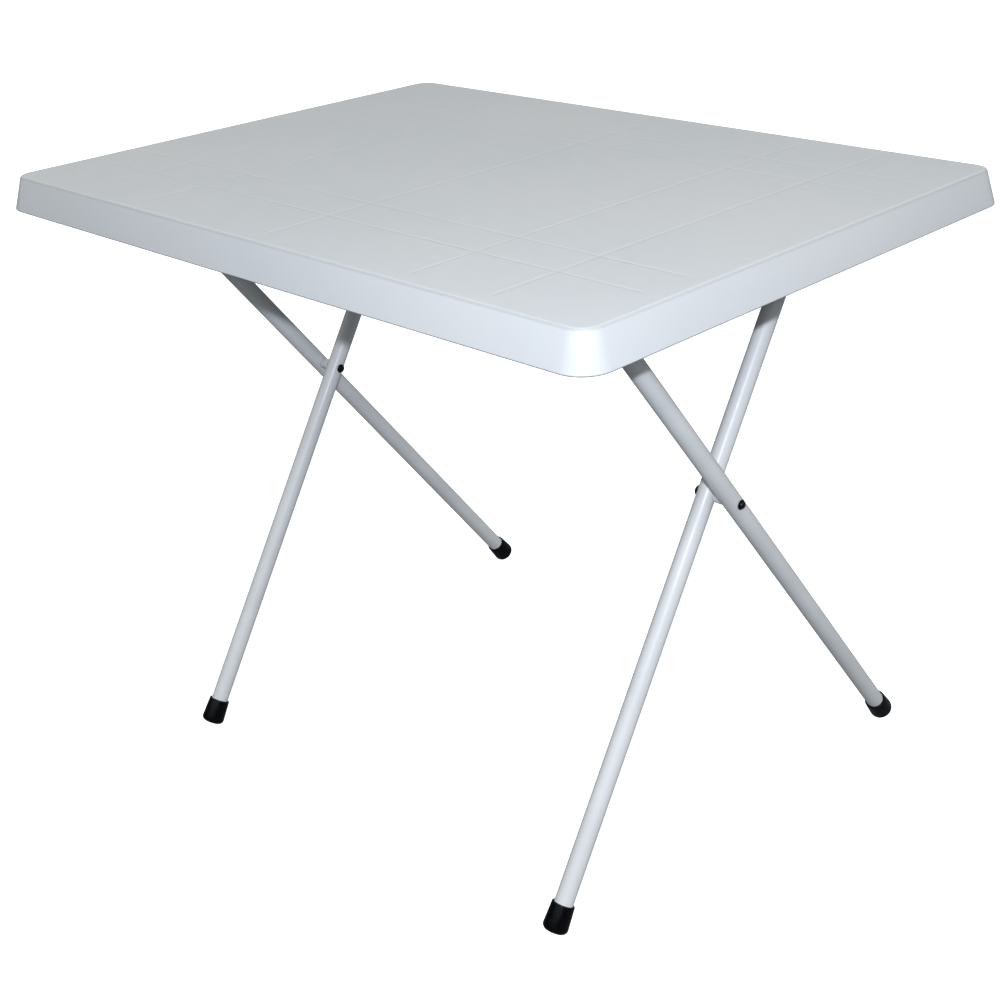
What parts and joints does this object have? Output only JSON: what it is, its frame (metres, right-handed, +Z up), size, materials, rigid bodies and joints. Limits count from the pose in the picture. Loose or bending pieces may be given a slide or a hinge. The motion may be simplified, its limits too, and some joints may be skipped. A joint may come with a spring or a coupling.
{
  "type": "folding table",
  "caption": "Rectangular folding table: moulded top with a drafted apron on two crossed U-shaped tube frames with foot caps; the frames close like scissors.",
  "frame": {"origin": "on the floor under the middle of the table's outline", "axes": "+X along the long edge of the top, +Z up, +Y towards the feet of the outer frame"},
  "size_m": [0.8, 0.6114, 0.65],
  "materials": {
    "top_resin": "satin light grey-white moulded resin",
    "painted_tube": "smooth off-white powder coat",
    "foot_plastic": "glossy black moulded cap",
    "spacer_plastic": "satin off-white nylon",
    "fitting_plastic": "satin grey-white",
    "rivet_steel": "dark plated steel",
    "screw_steel": "zinc plated"
  },
  "bodies": {
    "outer_frame": {"outer_frame_tube": "painted_tube", "outer_foot_left": "foot_plastic", "outer_foot_right": "foot_plastic", "rivet_left": "rivet_steel", "rivet_right": "rivet_steel", "spacer_left": "spacer_plastic", "spacer_right": "spacer_plastic", "outer_washer_left": "rivet_steel", "outer_washer_right": "rivet_steel", "inner_washer_left": "rivet_steel", "inner_washer_right": "rivet_steel"},
    "inner_frame": {"inner_frame_tube": "painted_tube", "inner_foot_left": "foot_plastic", "inner_foot_right": "foot_plastic"},
    "top": {"table_top": "top_resin", "hinge_strap_left": "fitting_plastic", "hinge_strap_right": "fitting_plastic", "notch_rack_left": "fitting_plastic", "notch_rack_right": "fitting_plastic", "strap_screws_left": "screw_steel", "strap_screws_right": "screw_steel", "rack_screws_left": "screw_steel", "rack_screws_right": "screw_steel"}
  },
  "joints": [
    {"name": "top_tilt", "type": "hinge", "parent": "outer_frame", "child": "top", "pos_m": [0, -0.19145, 0.6267], "axis": [1, 0, 0], "range_deg": [0, 110]},
    {"name": "scissor_close", "type": "hinge", "parent": "outer_frame", "child": "inner_frame", "pos_m": [0, 0.00426, 0.378], "axis": [1, 0, 0], "range_deg": [0, 69.7]}
  ],
  "couplings": [
    {"joint": "scissor_close", "follows": "top_tilt", "ratio": 0.63364}
  ]
}
